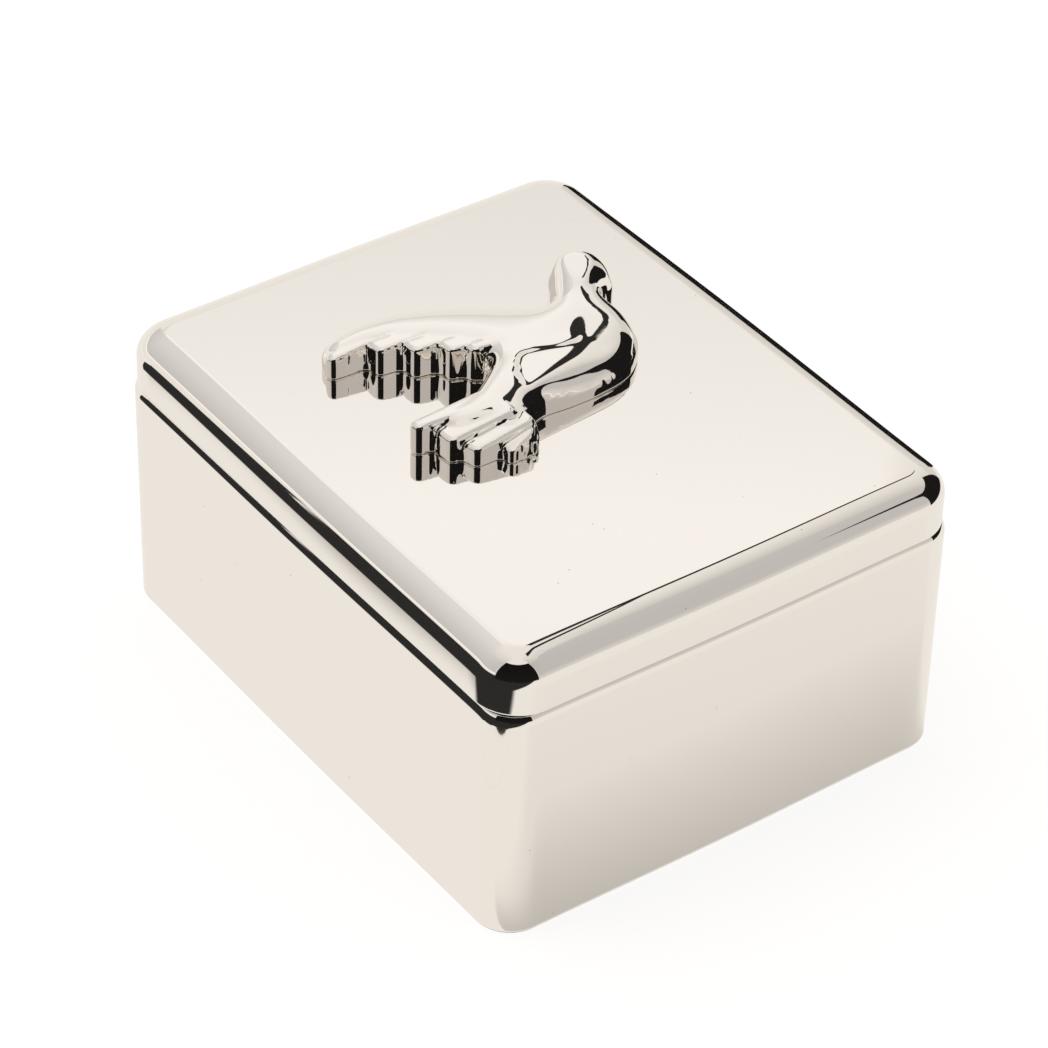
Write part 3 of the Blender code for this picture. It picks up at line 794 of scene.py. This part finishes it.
@dataclass
class Dove:
    """The cast dove on the lid: a smooth relief, with feathers that end in upright faces."""

    finish: Material
    bottom: float = 0.06135
    half: float = 0.0345
    cell: float = 0.00022
    voxel: float = 0.00022
    root: float = 0.0015
    foot: float = 0.0004
    foot_upright: float = 0.7
    outer_slope: float = 20.0
    soften_count: int = 5
    trunk_soften_count: int = 16
    feather_margin: float = 0.3
    outline_reach: float = 1.4
    hollow_reach: float = 0.3
    settle_count: int = 6
    probe_share: float = 0.125
    flattest: float = 0.25
    trunk: Trunk = Trunk((
        # The raised wing, the shoulder and the neck
        ((-24.8, 28, 2.8, 5.4, 1.6), (-19.5, 28.2, 3.6, 6.1, 2), (-12.5, 25.8, 5.3, 6.9, 2.6),
         (-6, 21.5, 6.4, 7.5, 3), (-1, 17.2, 7.2, 7.9, 3.2), (4.5, 12.8, 7.2, 8.2, 3.6),
         (10.5, 9.6, 6.8, 8.5, 4.2), (16.5, 10.4, 6, 9.4, 5), (20.4, 15.2, 4.3, 11.6, 5)),
        # The head
        ((23.2, 18, 5.2, 14, 4.6), (24.2, 19.6, 5.6, 15.4, 4.6), (24.4, 19.8, 5.6, 15.4, 4.6)),
        # The back and the root of the tail
        ((4.5, 12, 6.8, 8.2, 3.6), (-0.5, 6.8, 4.2, 8.1, 3), (-5, 2.2, 4, 8, 2.5),
         (-10, -2.2, 4.6, 7.7, 2.2), (-15, -4, 4.4, 7.2, 2), (-20, -3.6, 3.2, 6.8, 1.6)),
        ((-7, -2, 4, 7.4, 2.5), (-9.5, -7, 3.4, 6.2, 2), (-11.5, -10, 2.6, 5, 1.5)),
        # The crest over the hollow, and the belly
        ((-1, 6.2, 2, 8, 3), (4.5, 6, 2, 8, 3), (10.5, 5, 2, 7.6, 3.5)),
        ((-3, -2.8, 3.2, 7.2, 1.2), (0, -1.8, 4.3, 7.5, 2.2), (3, -1, 5.4, 7.8, 4.5),
         (6, -0.4, 6.1, 8.2, 7.5), (10, 0.4, 6.8, 9, 11), (16, 2.2, 7.2, 10, 12),
         (19, 7, 6, 9.6, 6)),
        # The breast's right border
        ((20.2, 3.2, 4, 9, 5), (20.8, 6, 3.8, 8.8, 2), (20.6, 8.4, 3.4, 8.6, 1.2)),
        # The bill
        ((26.6, 19.8, 3.2, 12, 2.6), (28.2, 17.8, 1.6, 9, 1.6), (28.2, 16.2, 0.9, 6, 1)),
    ))
    hollow: Hollow = Hollow((
        (-4.4, -3.2, 0.5), (-3.6, 0, 2.5), (-2.4, 2.2, 3), (-1, 3.8, 3), (0.6, 4.2, 3),
        (3.9, 3.4, 3), (7.9, 2.4, 3), (11, 2, 3), (13.2, 2.6, 0.12), (14, -1, 0.12),
        (12, -5, 0.12), (8, -9, 0.3), (0, -10, 0.3), (-4, -7, 0.3)))
    feathers: tuple[Feather, ...] = (
        # The wing, from its tip
        Feather(((-28.1, 24.9), (-13, 24.4), (-14, 27), (-27.8, 27.6)), (4.7, 6.2)),
        Feather(((-20.1, 21.2), (-9, 19.8), (-9, 23.5), (-20.3, 25.4)), (5.8, 6.9)),
        Feather(((-14.9, 17), (-4, 15.2), (-4, 19.5), (-15.2, 21.2)), (6.3, 7.2)),
        Feather(((-9.9, 12.8), (1, 10.5), (1, 15.5), (-10.2, 17.1)), (6.9, 7.6)),
        Feather(((-6.6, 10.2), (2, 8.2), (2, 12), (-6.9, 12.9)), (7.3, 7.8)),
        # The tail, from its upper side
        Feather(((-28, -2.9), (-12, -4.6), (-12, 0.2), (-28.3, -0.3)), (6.3, 7)),
        Feather(((-24.3, -8.3), (-10, -9), (-10, -3), (-24.8, -3.8)), (5.1, 7)),
        Feather(((-21.2, -11.9), (-8, -12), (-8, -7), (-22, -8.4)), (3.9, 6)),
        Feather(((-15.5, -14.8), (-9, -13.4), (-8, -9), (-15.9, -11.6)), (2.9, 5)),
        Feather(((-12.6, -14.6), (-10.3, -14), (-8, -8), (-13, -11)), (2.9, 4.8), 0.8),
        Feather(((-10, -14.5), (-8.2, -13.2), (-6.3, -8), (-9.5, -9.5)), (2.5, 4.6), 0.8),
    )

    def depth(self, x: np.ndarray, y: np.ndarray) -> np.ndarray:
        """The depth of places inside the dove's outline.

        Args:
            x: places along X in metres.
            y: places along Y in metres.

        Returns:
            The depths in metres.
        """
        x, y = 1000 * x, 1000 * y
        depth = self.trunk.spans(x, y)[0]
        for feather in self.feathers:
            depth = join_fields(depth, feather.field(x, y)[0], self.outline_reach)
        return depth / 1000

    def heights(self, x: np.ndarray, y: np.ndarray) -> np.ndarray:
        """The heights of the dove's top over a square grid of places.

        Args:
            x: the grid's places along X in metres.
            y: the grid's places along Y in metres.

        Returns:
            The heights in metres.
        """
        x, y = 1000 * x, 1000 * y
        height = -join_fields(-self.trunk.heights(x, y), -self.hollow.floor(x, y),
                              self.hollow_reach)
        height += self.outer_slope * np.minimum(self.trunk.spans(x, y)[0], 0)
        for feather in self.feathers:
            inside, top = feather.field(x, y)
            top = top + self.outer_slope * np.minimum(inside, 0)
            height = join_fields(height, top, feather.reach)
        return height / 1000

    def settle_edge(self, bm: BMesh) -> None:
        """Move the relief's border points onto the outline.

        Args:
            bm: the relief, flat at its border.
        """
        border = [vert for vert in bm.verts if vert.is_boundary]
        probe = self.cell * self.probe_share
        for _ in range(self.settle_count):
            x, y = places(border)
            depth = self.depth(x, y)
            slope_x = (self.depth(x + probe, y) - depth) / probe
            slope_y = (self.depth(x, y + probe) - depth) / probe
            steep = np.maximum(slope_x ** 2 + slope_y ** 2, self.flattest)
            moves = zip(border, -depth * slope_x / steep, -depth * slope_y / steep)
            for vert, move_x, move_y in moves:
                vert.co.x += max(-self.cell, min(self.cell, move_x))
                vert.co.y += max(-self.cell, min(self.cell, move_y))

    def relief(self) -> BMesh:
        """Make the dove as a thick slab with its relief on top, rooted below the lid's top.

        Returns:
            The closed slab.
        """
        bm = bmesh.new()
        cells = round(2 * self.half / self.cell)
        bmesh.ops.create_grid(bm, x_segments=cells, y_segments=cells, size=self.half)
        x, y = (axis.reshape(cells + 1, cells + 1) for axis in places(bm.verts))
        for vert, height in zip(bm.verts, self.heights(x, y).ravel()):
            vert.co.z = self.bottom + max(height, self.cell)
        outside = self.depth(x, y).ravel() < 0
        cut = [vert for vert, out in zip(bm.verts[:], outside) if out]
        bmesh.ops.delete(bm, geom=cut, context="VERTS")
        stray = [vert for vert in bm.verts if not vert.link_faces]
        bmesh.ops.delete(bm, geom=stray, context="VERTS")
        self.settle_edge(bm)
        grown = bmesh.ops.extrude_face_region(bm, geom=bm.faces[:], use_keep_orig=True)["geom"]
        for vert in (part for part in grown if isinstance(part, BMVert)):
            vert.co.z = self.bottom - self.root
        bmesh.ops.recalc_face_normals(bm, faces=bm.faces[:])
        return bm

    def even_skin(self, bm: BMesh) -> BMesh:
        """Lay a skin of small even faces over a closed shape.

        Args:
            bm: the shape, which is freed.

        Returns:
            The skin.
        """
        rough = link_mesh("dove_rough", bm, self.finish)
        skin = rough.modifiers.new("skin", "REMESH")
        skin.mode = "VOXEL"
        skin.voxel_size = self.voxel
        bpy.context.view_layer.update()
        made = bmesh.new()
        made.from_mesh(rough.evaluated_get(bpy.context.evaluated_depsgraph_get()).to_mesh())
        rough.to_mesh_clear()
        bpy.data.objects.remove(rough)
        return made

    def soften_trunk(self, bm: BMesh) -> None:
        """Smooth the skin further away from the feathers.

        Args:
            bm: the skin.
        """
        x, y = (1000 * axis for axis in places(bm.verts))
        nearest = np.max([feather.field(x, y)[0] for feather in self.feathers], axis=0)
        smooth = [vert for vert, near in zip(bm.verts, nearest) if near < -self.feather_margin]
        soften(bm, smooth, self.trunk_soften_count)

    def round_foot(self, bm: BMesh) -> None:
        """Draw the lowest part of the upright faces in, to leave a fine seam to the lid.

        Args:
            bm: the skin.
        """
        bm.normal_update()
        for vert in bm.verts:
            low = (self.bottom + self.foot - vert.co.z) / self.foot
            if low > 0 and abs(vert.normal.z) < self.foot_upright:
                inwards = self.foot * (1 - math.sqrt(max(0.0, 1 - min(low, 1.0) ** 2)))
                vert.co -= inwards * Vector((vert.normal.x, vert.normal.y, 0)).normalized()

    def build(self) -> Object:
        """Build the dove: the relief, an even skin over it, softened edges and a flat seat.

        Returns:
            The dove.
        """
        bm = self.even_skin(self.relief())
        soften(bm, bm.verts[:], self.soften_count)
        self.soften_trunk(bm)
        self.round_foot(bm)
        bmesh.ops.bisect_plane(bm, geom=bm.verts[:] + bm.edges[:] + bm.faces[:],
                               plane_co=(0, 0, self.bottom), plane_no=(0, 0, 1), clear_inner=True)
        bmesh.ops.edgeloop_fill(bm, edges=[edge for edge in bm.edges if edge.is_boundary])
        return finish_piece("dove_cast", bm, self.finish, Body.LID, "dove",
                            sharp=60.0)


# The lining


@dataclass
class LiningWall:
    """The velvet covered card round the inside, folded over at its top."""

    plan: BoxPlan
    finish: Material
    bottom: float = 0.0033
    top: float = 0.0521
    outer: float = 0.0015
    thick: float = 0.0020
    corner: float = 0.0090

    def build(self) -> Object:
        """Build the card: up the outside, over the fold, down the inside, across the bottom.

        Returns:
            The card.
        """
        fold = self.thick / 2
        bm, face = self.plan.face(self.outer, self.corner - self.outer, self.bottom)
        steps = [(0, self.top - fold - self.bottom), *round_steps(fold, PLAIN_ROUND),
                 *round_steps(fold, PLAIN_ROUND, down=True), (0, self.bottom - self.top + fold)]
        close_tube(bm, raise_face(bm, face, steps))
        return finish_piece("lining_wall_velvet", bm, self.finish, Body.BASE,
                            "lining_wall", sharp=60.0)


@dataclass
class VelvetPad:
    """A padded velvet panel: card, a thin wadding and velvet drawn over the edges.

    Its inset, the radius of its corners and the level of its flat face are given, and its
    thickness, which is negative for a panel that hangs down.
    """

    plan: BoxPlan
    finish: Material
    node: str
    body: Body
    inset: float
    corner: float
    flat: float
    thick: float
    crown: float = 0.00028
    edge: float = 0.0007
    core_corner: float = 0.0012
    rings: int = 14
    pucker: float = 0.00016
    pucker_pitch: float = 0.0085
    pucker_slant: float = 1.3
    pucker_fade: float = 0.0025

    def build(self) -> Object:
        """Build the pad from its flat face, with small puckers where the velvet is drawn over.

        Returns:
            The pad.
        """
        sign = math.copysign(1, self.thick)
        bm, face = self.plan.face(self.inset, self.corner, self.flat)
        steps = [(0, self.thick - sign * self.edge)]
        steps += [(inwards, sign * rise) for inwards, rise in round_steps(self.edge, PLAIN_ROUND)]
        reach = self.corner - self.edge - self.core_corner
        for ring in range(self.rings):
            start, end = (math.sin(math.pi / 2 * (part / self.rings)) for part in (ring, ring + 1))
            steps.append((reach / self.rings, sign * self.crown * (end - start)))
        bmesh.ops.poke(bm, faces=[raise_face(bm, face, steps)])
        rim = self.flat + self.thick - sign * self.edge
        half_width, half_depth = self.plan.width / 2 - self.inset, self.plan.depth / 2 - self.inset
        for vert in bm.verts:
            away = min(half_width - abs(vert.co.x), half_depth - abs(vert.co.y))
            turn = 2 * math.pi * (vert.co.x + self.pucker_slant * vert.co.y) / self.pucker_pitch
            if sign * (vert.co.z - rim) > 0:
                vert.co.z += self.pucker * math.sin(turn) * math.exp(-away / self.pucker_fade)
        piece = finish_piece(f"{self.node}_velvet", bm, self.finish, self.body,
                             self.node, sharp=70.0)
        return piece


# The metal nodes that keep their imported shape


@dataclass
class Fittings:
    """Hinges, pins, rivets, nuts, washers and the floor plate."""

    finish: Material
    prefixes: tuple[str, ...] = ("hinge", "rivet", "dove_nut", "dove_washer", "floor_plate")

    def dress(self) -> None:
        """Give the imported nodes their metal."""
        for name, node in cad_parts.items():
            if name.startswith(self.prefixes):
                node.data.materials.clear()
                node.data.materials.append(self.finish)
                LOG.info("%s: dressed in %s", name, self.finish.name)


# The studio


@dataclass
class Camera:
    """The photograph's camera."""

    lens: float = 144.30
    sensor: float = 36.0
    near: float = 0.01
    far: float = 100.0
    place: tuple[float, float, float] = (-0.37254, -0.50051, 0.51596)
    right: tuple[float, float, float] = (0.81271, -0.58229, 0.02097)
    up: tuple[float, float, float] = (0.34360, 0.50802, 0.78984)

    def build(self) -> None:
        """Make the camera and set it as the scene's."""
        data = bpy.data.cameras.new("camera")
        data.lens = self.lens
        data.sensor_width = self.sensor
        data.clip_start = self.near
        data.clip_end = self.far
        camera = bpy.data.objects.new("camera", data)
        back = Vector(self.right).cross(Vector(self.up))
        turn = Matrix((self.right, self.up, back)).transposed()
        camera.matrix_world = Matrix.Translation(self.place) @ turn.to_4x4()
        bpy.context.scene.collection.objects.link(camera)
        bpy.context.scene.camera = camera


@dataclass(frozen=True)
class Card:
    """A card or soft light that only mirror-like surfaces show.

    A card in the air spans two azimuths and two elevations in degrees, where azimuth 0 is behind
    the box and 90 is to its right. Other cards have four corners in metres: low left, low right,
    high right and high left. The tones are those of the low left, low right, high left and high
    right corners.
    """

    name: str
    tones: tuple[float, ...]
    azimuths: tuple[float, float] = (0.0, 0.0)
    elevations: tuple[float, float] = (0.0, 0.0)
    softness: tuple[float, float] = (0.0, 0.0)
    distance: float = 1.6
    corners: tuple[tuple[float, ...], ...] = ()
    lift: float = 0.0004
    tint: str = "#F2EEE9"
    least_fade: float = 0.0001
    steps: int = 24

    def spot(self, u: float, v: float) -> Vector:
        """The place of a point of the card.

        Args:
            u: its share along the card, from left to right.
            v: its share up the card.

        Returns:
            The place in metres.
        """
        if self.corners:
            low = Vector(self.corners[0]).lerp(Vector(self.corners[1]), u)
            high = Vector(self.corners[3]).lerp(Vector(self.corners[2]), u)
            return low.lerp(high, v).to_3d() + Vector((0, 0, self.lift))
        turn, rise = (math.radians(low + (high - low) * share)
                      for (low, high), share in ((self.azimuths, u), (self.elevations, v)))
        flat = math.cos(rise)
        return self.distance * Vector((math.sin(turn) * flat, math.cos(turn) * flat,
                                       math.sin(rise)))

    def material(self) -> Material:
        """A plain glow that runs from the lower tones to the upper, with soft edges.

        Returns:
            The material.
        """
        made, tree = new_material(f"card_{self.name}")
        place = add_node(tree, "TexCoord", output="UV")
        along, up = add_node(tree, "SeparateXYZ", {0: place}).node.outputs[:2]
        low, high = (add_node(tree, "MapRange", {"Value": along, "To Min": left, "To Max": right})
                     for left, right in (self.tones[:2], self.tones[2:]))
        glow = add_node(tree, "MapRange", {"Value": up, "To Min": low, "To Max": high})
        fades = []
        for spot, soft in zip((along, up), self.softness):
            near = add_node(tree, "Math", {0: spot, 1: 0.5}, operation="PINGPONG")
            reach = max(soft, self.least_fade)
            fades.append(add_node(tree, "MapRange", {"Value": near, "From Max": reach},
                                  interpolation_type="SMOOTHSTEP"))
        cover = add_node(tree, "Math", {0: fades[0], 1: fades[1]}, operation="MULTIPLY")
        light = add_node(tree, "Emission", {"Color": linear(self.tint), "Strength": glow})
        clear = add_node(tree, "BsdfTransparent")
        mixed = add_node(tree, "MixShader", {0: cover, 1: clear, 2: light})
        add_node(tree, "OutputMaterial", {0: mixed})
        return made

    def build(self) -> None:
        """Make the card, seen only in reflections."""
        bm = bmesh.new()
        bm.loops.layers.uv.new("card")
        bmesh.ops.create_grid(bm, x_segments=self.steps, y_segments=self.steps, size=0.5,
                              calc_uvs=True)
        for vert in bm.verts:
            vert.co = self.spot(vert.co.x + 0.5, vert.co.y + 0.5)
        card = link_mesh(f"card_{self.name}", bm, self.material())
        for rays in ("camera", "diffuse", "transmission", "shadow"):
            setattr(card, f"visible_{rays}", False)


@dataclass
class Studio:
    """A pale floor, soft light from above, and the cards that the plating reflects."""

    plan: BoxPlan
    floor_colour: str = "#F4F3F1"
    floor_reach: float = 6.0
    floor_glow: float = 1.06
    shadow_share: float = 0.22
    # A painted shadow under the box: a dark sheet on the floor, with its colour, inset, corner and
    # level.
    painted_shadow_colour: str = "#55504A"
    painted_shadow_inset: float = 0.0002
    painted_shadow_corner: float = 0.0073
    painted_shadow_level: float = 0.00003
    world_tint: str = "#F2EEE9"
    lamp_power: float = 5.0
    lamp_place: tuple[float, float, float] = (-0.5, 0.4, 1.3)
    lamp_size: float = 0.9
    cards: tuple[Card, ...] = (
        # The white paper under the box, and painted shade on it in front, darkest at the box's foot,
        # which the front wall mirrors
        Card("paper", (1.02,) * 4, softness=(0.03, 0.03), lift=0.0002,
             corners=((-1.2, -1.2), (1.2, -1.2), (1.2, 1.2), (-1.2, 1.2))),
        Card("front_shade", (0.88, 0.93, 1.01, 1.02), softness=(0.14, 0.0),
             corners=((-0.066, -0.062), (0.060, -0.060), (0.125, -0.138), (-0.050, -0.138))),
        Card("foot_shade", (0.60, 0.67, 0.93, 0.96), softness=(0.16, 0.0), lift=0.0006,
             corners=((-0.062, -0.061), (0.056, -0.061), (0.081, -0.090), (-0.038, -0.090))),
        # The light behind the box on the right, which the lid's top mirrors, and those above
        Card("key_light", (0.80, 0.80, 1.12, 1.12), (13, 46.5), (28, 40.2), (0.03, 0.0),
             tint="#F4F2F0"),
        Card("key_light_top", (1.12, 1.12, 1.0, 1.0), (13, 46.5), (40.2, 64), (0.03, 0.0),
             tint="#F4F2F0"),
        Card("high_left", (0.72, 1.02, 1.0, 1.0), (-100, 16), (62, 86), (0.04, 0.0), 1.7),
        Card("high_right", (1.02, 0.62, 1.0, 1.0), (56, 172), (64, 86), (0.02, 0.0), 1.7),
        # On the left: the panel that the shoulder mirrors, a bright strip and the black below it
        Card("left_panel", (0.68, 0.72, 0.68, 1.00), (-100, 16), (20, 62), (0.04, 0.02), 1.7,
             tint="#F0EDEC"),
        Card("left_strip", (1.18,) * 4, (-100, 0), (16.5, 20.5), (0.05, 0.12), 1.65),
        Card("left_dark", (0.03,) * 4, (-105, -49), (-2, 12.5), (0.02, 0.06)),
        Card("left_dark_end", (0.03,) * 4, softness=(0.0, 0.06),
             corners=((-1.208, 1.050, -0.05), (-1.123, 1.143, -0.05), (-1.123, 1.143, -0.04),
                      (-1.179, 1.025, 0.34))),
        # In front on the right: what the front shoulder and the front wall mirror
        Card("front_right_panel", (0.86, 0.86, 0.66, 0.66), (136, 172), (-1, 17), (0.02, 0.03)),
        Card("front_right_sheet", (0.71, 0.63, 0.68, 0.61), (104, 172), (15, 64), (0.02, 0.02),
             1.7, tint="#F0EDEC"),
        Card("right_sheet", (1.02, 0.72, 1.02, 0.72), (56, 106), (27, 66), (0.01, 0.02), 1.7),
        # The black lines along the front crease
        Card("crease_gap", (0.03,) * 4, (46, 56), (39, 60), (0.05, 0.05), 1.5),
        Card("crease_strip", (0.02,) * 4, softness=(0.02, 0.04),
             corners=((0.004, -0.040, 0.253), (0.078, 0.017, 0.215), (0.078, 0.013, 0.218),
                      (0.003, -0.072, 0.262))),
        # The dark side of the room, behind the camera
        Card("camera_gap", (0.012, 0.012, 0.008, 0.008), (172, 262), (-1, 67), (0.02, 0.02), 1.5),
        # The black, the haze and the window that the right corner mirrors
        Card("right_gap", (0.012,) * 4, (44, 66), (-2, 11), (0.01, 0.02)),
        Card("right_gap_floor", (0.012,) * 4,
             corners=((0.150, 0.020), (1.5, 0.66), (1.1, 1.1), (0.100, 0.090))),
        Card("right_haze", (0.76, 0.76, 0.90, 0.90), (44, 58), (10, 27), (0.01, 0.02)),
        Card("right_window", (0.84, 0.80, 0.84, 0.80), (57, 83), (-1, 28), distance=1.65),
        Card("right_block", (0.012,) * 4, (82, 137), (-2, 44), (0.01, 0.01), 0.6),
        # The black floor past the paper on the left, and the paper's corner
        Card("dark_floor", (0.03,) * 4, softness=(0.0040, 0.0),
             corners=((-0.0870, 0.122), (-2.5, 2.43), (-2.5, -2.5), (-0.0850, -2.5))),
        Card("corner_paper", (1.02,) * 4, lift=0.0006,
             corners=((-0.088, -0.010), (-0.101, -0.028), (-0.107, -0.058), (-0.088, -0.108))),
    )

    def build(self) -> None:
        """Make the floor, the painted shadow under the box, the world, the lamp and the cards."""
        self.make_floor()
        self.make_painted_shadow()
        self.make_world()
        self.make_lamp()
        for card in self.cards:
            card.build()

    def make_floor(self) -> None:
        """A wide plain floor that shows white, with a share of the box's shadow."""
        made, tree = new_material("studio_floor_matt")
        matt = add_node(tree, "BsdfDiffuse", {"Color": linear(self.floor_colour)})
        glow = add_node(tree, "Emission", {"Strength": self.floor_glow})
        mixed = add_node(tree, "MixShader", {0: 1 - self.shadow_share, 1: matt, 2: glow})
        add_node(tree, "OutputMaterial", {0: mixed})
        bm = bmesh.new()
        bmesh.ops.create_grid(bm, x_segments=4, y_segments=4, size=self.floor_reach)
        link_mesh("studio_floor", bm, made)

    def make_painted_shadow(self) -> None:
        """A painted shadow: a dark sheet on the floor right under the box."""
        made, tree = new_material("studio_painted_shadow")
        matt = add_node(tree, "BsdfDiffuse", {"Color": linear(self.painted_shadow_colour)})
        add_node(tree, "OutputMaterial", {0: matt})
        bm, _ = self.plan.face(self.painted_shadow_inset, self.painted_shadow_corner, self.painted_shadow_level)
        link_mesh("studio_painted_shadow", bm, made)

    def make_world(self) -> None:
        """A plain white world."""
        world = bpy.data.worlds.new("studio_world")
        bpy.context.scene.world = world
        world.use_nodes = True
        tree = world.node_tree
        tree.nodes.clear()
        glow = add_node(tree, "Background", {"Color": linear(self.world_tint), "Strength": 1.0})
        add_node(tree, "OutputWorld", {0: glow})

    def make_lamp(self) -> None:
        """A large soft lamp above and behind the box on the left."""
        data = bpy.data.lights.new("soft_lamp", "AREA")
        data.energy = self.lamp_power
        data.size = self.lamp_size
        lamp = bpy.data.objects.new("soft_lamp", data)
        place = Vector(self.lamp_place)
        turn = place.to_track_quat("Z", "Y").to_matrix().to_4x4()
        lamp.matrix_world = Matrix.Translation(place) @ turn
        lamp.visible_glossy = False
        bpy.context.scene.collection.objects.link(lamp)


def main() -> None:
    """Build the box and its studio in order."""
    logging.basicConfig(level=logging.INFO, format="%(name)s: %(message)s")
    bpy.context.scene.view_settings.view_transform = "Standard"
    Camera().build()
    plan = BoxPlan()
    silver, nickel = SilverPlate().material(), NickelPlate().material()
    velvet, felt = Velvet().material(), WoolFelt().material()
    BaseWall(plan, silver).build()
    BaseFelt(plan, felt).build()
    LidShell(plan, silver).build()
    Dove(silver).build()
    LiningWall(plan, velvet).build()
    VelvetPad(plan, velvet, "lining_floor", Body.BASE,
              inset=0.0038, corner=0.0052, flat=0.0033, thick=0.0018).build()
    VelvetPad(plan, velvet, "lining_lid", Body.LID,
              inset=0.0015, corner=0.0075, flat=0.0563, thick=-0.0016).build()
    Fittings(nickel).dress()
    Studio(plan).build()


if __name__ == "__main__":
    main()
